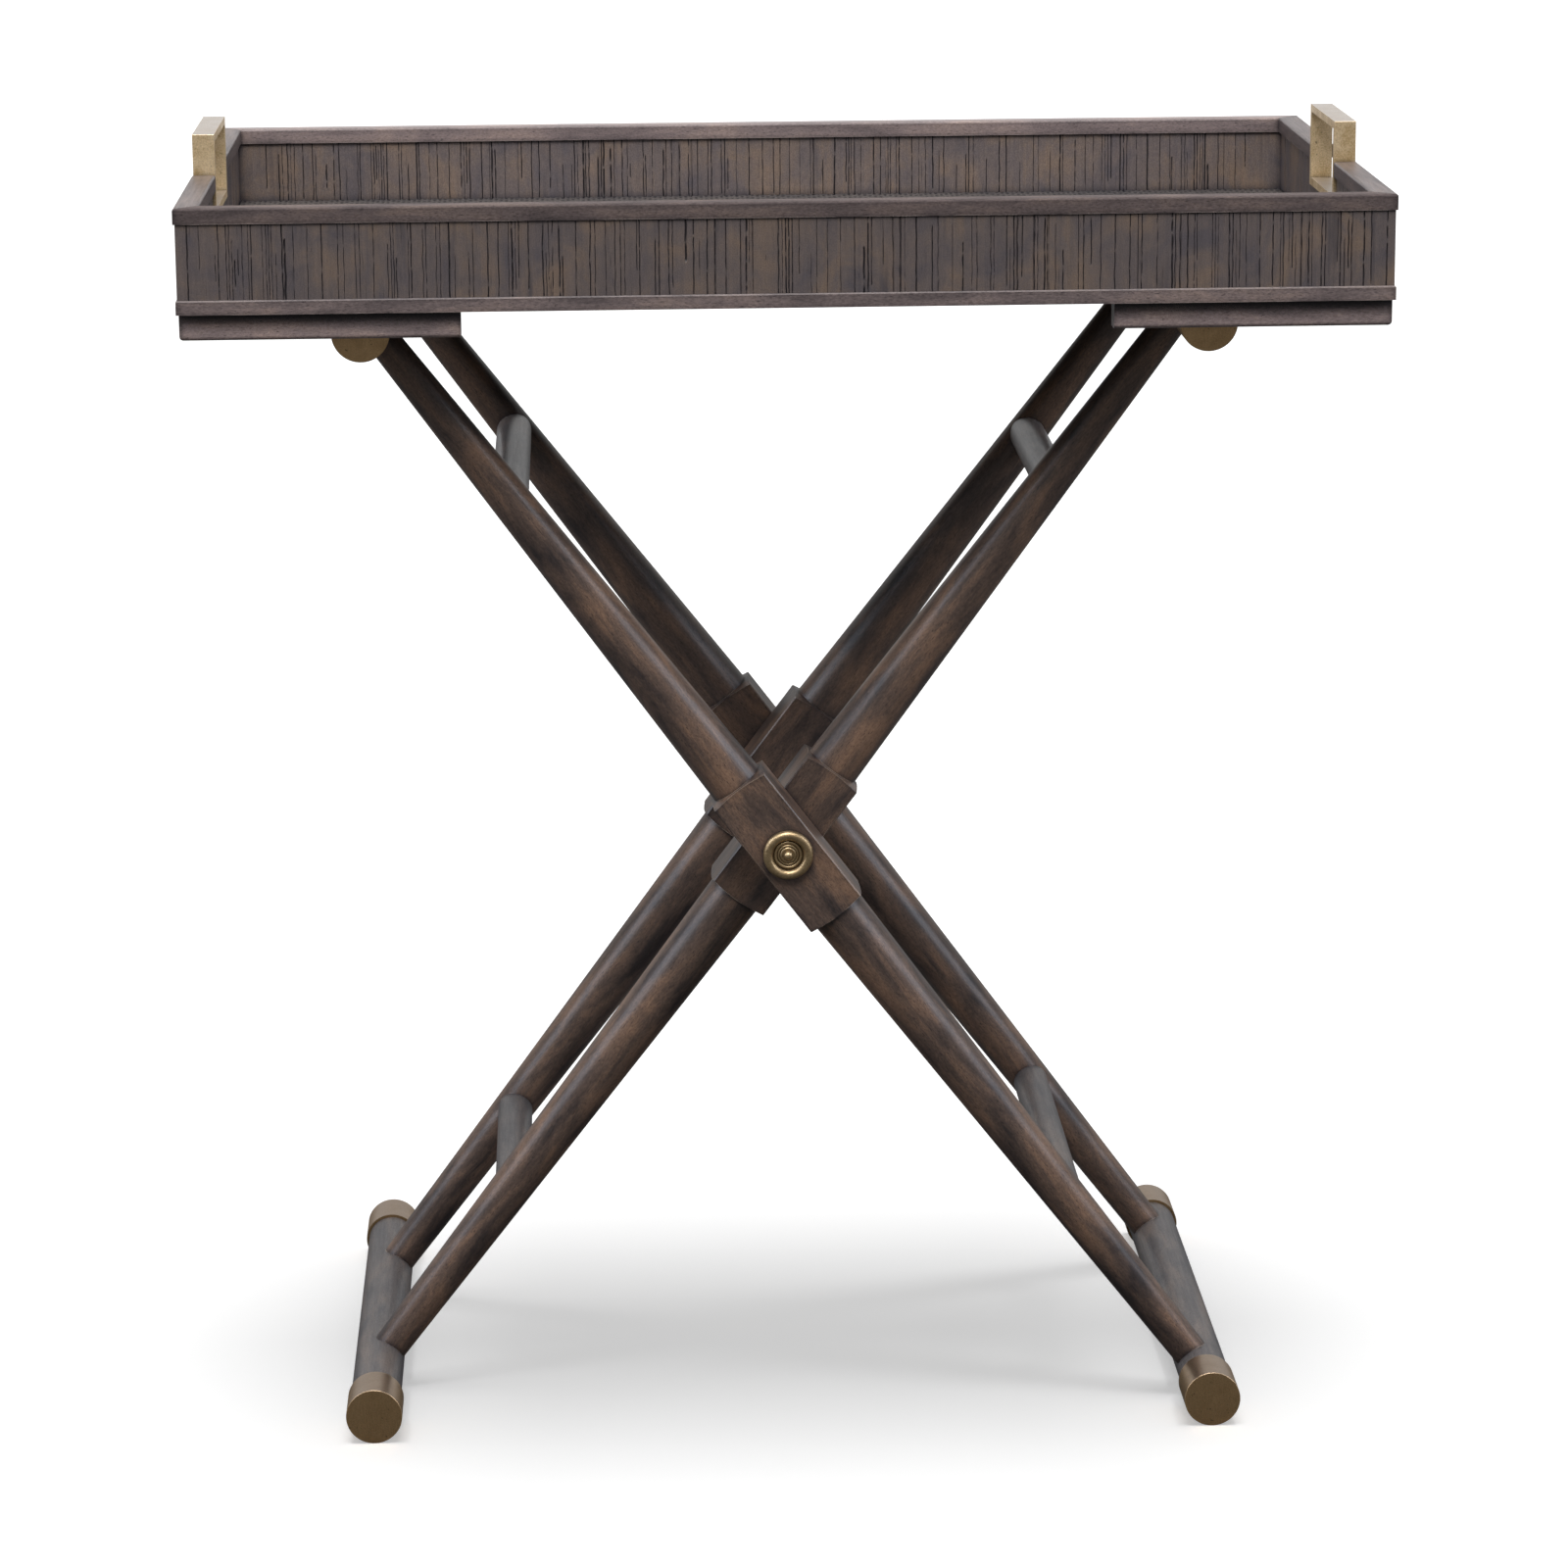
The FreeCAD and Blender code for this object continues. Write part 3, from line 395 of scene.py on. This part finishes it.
def score_lines(start, end, rng):
    """Scored lines from start to end, as dicts of place, width, depth and their reach in height."""
    lines, at = [], start + rng.uniform(3, 8) * MM
    while at < end - 3 * MM:
        kind = rng.random()
        width, depth = next(sizes for share, *sizes in SCORE_KINDS if kind < share)
        line = {
            "at": at,
            "width": rng.uniform(*width) * MM,
            "depth": rng.uniform(*depth) * MM,
            "low": rng.uniform(0.0, 0.5) if rng.random() < 0.18 else -0.1,
            "high": rng.uniform(0.5, 0.95) if rng.random() < 0.18 else 1.1,
            "seed": rng.uniform(0, 500),
        }
        lines.append(line)
        close = rng.random() < 0.42
        at += (rng.uniform(1.6, 2.6) if close else rng.uniform(3.0, 10.0)) * MM
    return lines


def line_strength(line, share):
    """How deep the line is cut at a share of the panel's height: 0 is not at all."""
    if not line["low"] < share < line["high"]:
        return 0.0
    ragged = noise.noise(Vector((line["seed"], share * 9.0, 0.0)))
    fine = noise.noise(Vector((line["seed"] + 50, share * 34.0, 0.0)))
    return max(0.0, min(1.0, 0.78 + 0.75 * ragged + 0.5 * fine))


def panel_columns(half, fixed, outer, inner):
    """Columns along a panel, each (place, outer line, inner line, part of the line, strip).

    The part is None between lines, and -2, -1, 1 or 2 across one. Fixed places always
    get a column, so that a notch can be cut there.
    """
    marks = [(s, None, None, None) for s in (-half, *fixed, half)]
    for face, lines in (("outer", outer), ("inner", inner)):
        for line in lines:
            w = line["width"] / 2
            for part, off in ((-2, -w), (-1, -w * 0.5), (1, w * 0.5), (2, w)):
                marks.append((line["at"] + off, face, line, part))
    marks.sort(key=lambda m: m[0])
    filled = [marks[0]]
    for mark in marks[1:]:
        gap = mark[0] - filled[-1][0]
        if gap > 3 * MM:
            filled.append(((mark[0] + filled[-1][0]) / 2, None, None, None))
        filled.append(mark)
    return filled


def scored_panel(name, node, seed, notch=None):
    """A panel with lines scored down both faces. Its corners are mitred.

    notch is (half width, floor height) of the gap that takes a handle.
    """
    low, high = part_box(node)
    size = high - low
    sideways = size.x < size.y  # an end panel runs along Y
    thick = min(size.x, size.y)
    half = max(size.x, size.y) / 2
    middle = (low + high) / 2
    out = math.copysign(1.0, middle.x if sideways else middle.y)
    face = max(abs(low.x), abs(high.x)) if sideways else max(abs(low.y), abs(high.y))
    rng = random.Random(seed)
    outer = score_lines(-half + 2 * MM, half - 2 * MM, rng)
    inner = score_lines(-half + thick + 2 * MM, half - thick - 2 * MM, rng)
    fixed = (-notch[0], notch[0]) if notch else ()
    columns = panel_columns(half, fixed, outer, inner)
    rows = [low.z + size.z * i / PANEL_ROWS for i in range(PANEL_ROWS + 1)]
    if notch:
        nearest = min(range(len(rows)), key=lambda i: abs(rows[i] - notch[1]))
        rows[nearest] = notch[1]
    keep = 60 * MM if notch else half * 0.5  # no mitre shear inside this

    def sheared(s):
        """A place on the inner face that stands opposite s on the outer one."""
        if abs(s) <= keep:
            return s
        share = (abs(s) - keep) / (half - keep)
        return math.copysign(keep + share * (half - thick - keep), s)

    def world(s, depth, z):
        across = out * (face - depth)
        return (across, s, z) if sideways else (s, across, z)

    verts, strips, scores = [], [], []
    strip = rng.random()
    for inside in (False, True):
        for place, which, line, part in columns:
            if part == 2:
                strip = rng.random()
            for z in rows:
                share = (z - low.z) / size.z
                cut, s = 0.0, place
                if line is not None and which == ("inner" if inside else "outer"):
                    if abs(part) == 1:
                        cut = line_strength(line, share)
                    s += noise.noise(Vector((line["seed"], 7.0, share * 5.0))) * WOBBLE
                depth = (line["depth"] if line else 0.0) * cut
                # each strip lies a touch higher or lower than the next
                relief = noise.noise(Vector((place * 180.0, share * 1.5, seed)))
                depth += STRIP_RELIEF * (1 + relief)
                if abs(place) >= half - 1e-6 or (fixed and abs(abs(place) - notch[0]) < 1e-6):
                    s, depth = place, 0.0
                if inside:
                    verts.append(world(sheared(s), thick - depth, z))
                else:
                    verts.append(world(s, depth, z))
                strips.append(strip)
                heavy = line["depth"] / (0.6 * MM) if line else 0.0
                scores.append(min(1.0, cut * (0.75 + 0.25 * heavy)))

    count, tall = len(columns), len(rows)
    behind = count * tall

    def cell(i, j):
        """True if the panel is solid between columns i, i+1 and rows j, j+1."""
        if not (0 <= i < count - 1 and 0 <= j < tall - 1):
            return False
        if notch is None:
            return True
        s = (columns[i][0] + columns[i + 1][0]) / 2
        return abs(s) > notch[0] or (rows[j] + rows[j + 1]) / 2 < notch[1]

    faces = []
    flip = (out < 0) == sideways  # keeps every face's outside outwards
    for i in range(count - 1):
        for j in range(tall - 1):
            if not cell(i, j):
                continue
            a, b = i * tall + j, (i + 1) * tall + j
            c, d = b + 1, a + 1
            loops = [(a, b, c, d), tuple(v + behind for v in (d, c, b, a))]
            for solid, (p, q) in (
                (cell(i, j - 1), (a, b)),
                (cell(i + 1, j), (b, c)),
                (cell(i, j + 1), (c, d)),
                (cell(i - 1, j), (d, a)),
            ):
                if not solid:
                    loops.append((q, p, p + behind, q + behind))
            faces += [tuple(reversed(f)) for f in loops] if flip else loops

    piece = mesh_piece(name, verts, faces, {"strip": strips, "score": scores})
    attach(piece, "tray")
    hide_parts(node)
    return piece


def mesh_piece(name, verts, faces, attributes=None, smooth=False):
    """A mesh object from lists, unused vertices dropped, with float values kept per vertex."""
    used = sorted({v for f in faces for v in f})
    renumber = {old: new for new, old in enumerate(used)}
    mesh = bpy.data.meshes.new(name)
    mesh.from_pydata([verts[v] for v in used], [], [[renumber[v] for v in f] for f in faces])
    for key, values in (attributes or {}).items():
        layer = mesh.attributes.new(key, "FLOAT", "POINT")
        layer.data.foreach_set("value", [values[v] for v in used])
    mesh.polygons.foreach_set("use_smooth", [smooth] * len(faces))
    mesh.update()
    piece = bpy.data.objects.new(name, mesh)
    bpy.context.scene.collection.objects.link(piece)
    return piece


# ---------------------------------------------------------------- woven mat

PITCH = 3.6 * MM  # strand to strand
HERRINGBONE = 12  # strands before the twill turns back
STRAND_RISE = 0.9 * MM  # from the hollows to the strands' tops
STRAND_ROUGH = 0.12 * MM


def over(i, j):
    """True where the strand across (along X) lies on top, in a two-over-two herringbone twill."""
    turn = (i // HERRINGBONE) % 2
    step = i % HERRINGBONE
    step = HERRINGBONE - 1 - step if turn else step
    return (step + j) % 4 < 2


def woven_floor(name, node):
    """The mat on the tray's floor: a grid pressed into strands, closed below by a rim."""
    low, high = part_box(node)
    wide, deep = round((high.x - low.x) / PITCH), round((high.y - low.y) / PITCH)
    step_x, step_y = (high.x - low.x) / wide / 2, (high.y - low.y) / deep / 2
    across, back = 2 * wide + 1, 2 * deep + 1
    rng = random.Random(41)
    strand_x = [rng.random() for _ in range(deep)]
    strand_y = [rng.random() for _ in range(wide)]
    verts, painted_shade, wefts, strands, faces = [], [], [], [], []
    for p in range(across):
        for q in range(back):
            i, j = min(p // 2, wide - 1), min(q // 2, deep - 1)
            inside = 0 < p < across - 1 and 0 < q < back - 1
            here = over(i, j)
            if p % 2 and q % 2:
                high_here = 1.0
            elif p % 2:  # between two rows
                high_here = 0.85 if inside and not here and not over(i, j - 1) else 0.0
            elif q % 2:  # between two columns
                high_here = 0.85 if inside and here and over(i - 1, j) else 0.0
            else:
                high_here = 0.0
            z = high.z - (1 - high_here) * STRAND_RISE - STRAND_ROUGH * rng.random()
            verts.append((low.x + p * step_x, low.y + q * step_y, z))
            # the mask of painted shade, 0.9 at the low points between the strands
            painted_shade.append(0.0 if high_here else 0.9)
            wefts.append(1.0 if here else 0.0)
            strands.append(strand_x[j] if here else strand_y[i])
    for p in range(across - 1):
        for q in range(back - 1):
            a = p * back + q
            faces.append((a, a + back, a + back + 1, a + 1))
    rim = [p * back for p in range(across)]
    rim += [(across - 1) * back + q for q in range(1, back)]
    rim += [p * back + back - 1 for p in range(across - 2, -1, -1)]
    rim += [q for q in range(back - 2, 0, -1)]
    first = len(verts)
    for v in rim:
        verts.append((verts[v][0], verts[v][1], low.z))
        painted_shade.append(0.5)
        wefts.append(0.0)
        strands.append(0.0)
    for k in range(len(rim)):
        after = (k + 1) % len(rim)
        faces.append((rim[after], rim[k], first + k, first + after))
    faces.append(tuple(first + k for k in reversed(range(len(rim)))))
    values = {"hollow": painted_shade, "weft": wefts, "strand": strands}
    piece = mesh_piece(name, verts, faces, values, smooth=True)
    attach(piece, "tray")
    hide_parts(node)
    return piece


# ---------------------------------------------------------------- finish every piece


def paint(obj, material):
    """Gives a piece this one material."""
    obj.data.materials.clear()
    obj.data.materials.append(material)


def grain_turn(name):
    """The turn that lays a wooden piece's grain along its own length."""
    low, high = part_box(name)
    size = high - low
    if name.startswith("leg"):
        # from its top end to its foot, seen from the front
        lean = math.atan2(size.x, size.z)
        return (0.0, math.radians(90) + (lean if name.startswith("leg_a") else -lean), 0.0)
    longest = max(range(3), key=lambda k: size[k])
    return (ALONG_X, ALONG_Y, ALONG_Z)[longest]


# painted light: how many times lighter than its tone a piece is painted, so that it looks as bright
# as it does in this light
PAINTED_LIGHT_SCALES = {
    "back_rail": 2.1,
    "base_moulding": 1.6,
    "skirt": 2.9,
    "upper_stretcher": 2.6,
}


def finish_cad_nodes():
    gold, old_gold = (0.88, 0.70, 0.45), (0.50, 0.35, 0.17)
    cap, old_cap = (0.60, 0.395, 0.20), (0.44, 0.28, 0.135)
    rosette, old_rosette = (0.44, 0.32, 0.175), (0.22, 0.15, 0.075)
    hidden = nylon("black_nylon")
    plain_steel = steel("zinc_steel")
    for seed, (name, obj) in enumerate(sorted(NODES.items()), 1):
        slot = obj.data.materials[0].name
        if slot == "antique_brass":
            if "cap" in name:
                look = (cap, old_cap, 0.6, 0.30, 5 * MM, 0.5, 0.15, 0.9)
            elif "rosette" in name:
                look = (rosette, old_rosette, 0.55, 0.38, 3 * MM, 0.1)
            else:
                look = (gold, old_gold, 0.9, 0.44, 5 * MM, 0.8)
            paint(obj, antique_brass("brass_" + name, seed, *look))
        elif slot == "steel":
            paint(obj, plain_steel)
        elif slot == "nylon":
            paint(obj, hidden)
        elif slot == "leather":
            paint(obj, hide("dark_hide"))
        else:
            tone = TRAY_TONE if name in TRAY_NODES else LEG_TONE
            tone = BAR_TONE if "_bar_" in name or "stretcher" in name else tone
            tone = STRETCHER_TONE if name.startswith("upper_stretcher") else tone
            tone = FRONT_TONE if name == "front_rail" else tone
            value = 0.6 if slot == "underside_wood" else 1.0
            value = next((v for start, v in PAINTED_LIGHT_SCALES.items() if name.startswith(start)), value)
            turn, shaded = grain_turn(name), "skirt" in name
            paint(obj, stained_wood("wood_" + name, turn, seed, tone, value, shaded))


# ---------------------------------------------------------------- studio


def make_floor():
    """A pale floor. What the camera sees of it and what it sends back up are set apart."""
    steps = 12
    verts, faces = [], []
    for i in range(steps + 1):
        for j in range(steps + 1):
            verts.append((FLOOR_HALF * (2 * i / steps - 1), FLOOR_HALF * (2 * j / steps - 1), 0.0))
    for i in range(steps):
        for j in range(steps):
            a = i * (steps + 1) + j
            faces.append((a, a + steps + 1, a + steps + 2, a + 1))
    floor = mesh_piece("studio_floor", verts, faces)
    t = Tree("pale_floor")
    seen = t.node("LightPath").outputs["Is Camera Ray"]
    paper = t.noise(t.turned(t.place(), stretch=(3, 3, 3)), 1.0, 2)
    bright = t.mix(1.0, t.ramp(paper, (0.3, 0.995), (0.7, 1.0)), (FLOOR_SEEN,) * 3, "MULTIPLY")
    colour = t.mix(seen, (FLOOR_BOUNCE,) * 3, bright)
    t.surface(Base_Color=colour, Roughness=1.0, Specular_IOR_Level=0.0)
    glow = t.math("MULTIPLY", seen, FLOOR_GLOW)
    t.surface(Emission_Color=(1.0, 1.0, 1.0, 1.0), Emission_Strength=glow)
    paint(floor, t.material)


def make_sky():
    """A sky that looks white and lights the table more from behind than from in front."""
    world = bpy.data.worlds.new("studio_sky")
    bpy.context.scene.world = world
    world.use_nodes = True
    tree = world.node_tree
    background = tree.nodes["Background"]
    background.inputs["Color"].default_value = (1.0, 1.0, 1.0, 1.0)
    where = tree.nodes.new("ShaderNodeTexCoord")
    split = tree.nodes.new("ShaderNodeSeparateXYZ")
    depth = tree.nodes.new("ShaderNodeMapRange")
    depth.interpolation_type = "SMOOTHSTEP"
    limits = {"From Min": -0.2, "From Max": 0.5, "To Min": SKY_FRONT, "To Max": SKY_BACK}
    for socket, value in limits.items():
        depth.inputs[socket].default_value = value
    path = tree.nodes.new("ShaderNodeLightPath")
    seen = tree.nodes.new("ShaderNodeMix")
    seen.inputs["B"].default_value = SKY_SEEN
    tree.links.new(where.outputs["Generated"], split.inputs[0])
    tree.links.new(split.outputs["Y"], depth.inputs["Value"])
    tree.links.new(path.outputs["Is Camera Ray"], seen.inputs["Factor"])
    tree.links.new(depth.outputs[0], seen.inputs["A"])
    tree.links.new(seen.outputs["Result"], background.inputs["Strength"])


def make_lights():
    """A wide sun straight overhead, and soft boxes that light the table but not the floor."""
    link = bpy.context.scene.collection.objects.link
    sun = bpy.data.lights.new("overhead", "SUN")
    sun.energy, sun.angle = SUN_STRENGTH, math.radians(SUN_ANGLE)
    link(bpy.data.objects.new("overhead", sun))

    lit = {group: bpy.data.collections.new(f"lit_{group}") for group in ("all", "tray")}
    for obj in bpy.context.scene.objects:
        if obj.type == "MESH" and obj.name != "studio_floor":
            lit["all"].objects.link(obj)
            if obj.name in TRAY_NODES or obj.name.startswith(("scored", "woven")):
                lit["tray"].objects.link(obj)
    for name, (direction, half_angle, radiance, colour, group) in SOFT_BOXES.items():
        size = 2 * BOX_DISTANCE * math.tan(math.radians(half_angle))
        data = bpy.data.lights.new(f"soft_box_{name}", "AREA")
        data.shape, data.size = "DISK", size
        data.energy, data.color = math.pi * radiance * math.pi * (size / 2) ** 2, colour
        box = bpy.data.objects.new(f"soft_box_{name}", data)
        out = Vector(direction).normalized()
        facing = out.to_track_quat("Z", "Y").to_matrix().to_4x4()
        box.matrix_world = Matrix.Translation(BOX_AIM + out * BOX_DISTANCE) @ facing
        box.light_linking.receiver_collection = lit[group]
        link(box)


def make_camera():
    data = bpy.data.cameras.new("camera")
    data.lens, data.sensor_width, data.sensor_fit = LENS_MM, SENSOR_MM, "HORIZONTAL"
    data.clip_start, data.clip_end = 0.05, 200.0
    camera = bpy.data.objects.new("camera", data)
    bpy.context.scene.collection.objects.link(camera)
    level = math.radians(90)
    camera.matrix_world = (
        Matrix.Translation(CAMERA_PLACE)
        @ Matrix.Rotation(-CAMERA_YAW, 4, "Z")
        @ Matrix.Rotation(level - CAMERA_PITCH, 4, "X")
        @ Matrix.Rotation(-CAMERA_ROLL, 4, "Z")
    )
    bpy.context.scene.camera = camera


finish_cad_nodes()
handle_low, handle_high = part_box("handle_left")
NOTCH = (handle_high.y, handle_low.z)
for seed, side in enumerate(("front", "back", "left", "right"), 11):
    at_end = side in ("left", "right")
    panel = scored_panel(f"scored_{side}", f"{side}_panel", seed, NOTCH if at_end else None)
    # painted light: the back panel is painted 1.3 times lighter, as it looks brighter in this light
    paint(panel, scored_veneer(f"veneer_{side}", ALONG_Z, seed, 1.3 if side == "back" else 1.0))
paint(woven_floor("woven_mat", "woven_floor"), woven_mat("woven_fibre"))
make_floor()
make_sky()
make_lights()
make_camera()

view = bpy.context.scene.view_settings
view.view_transform, view.look = "Standard", "None"
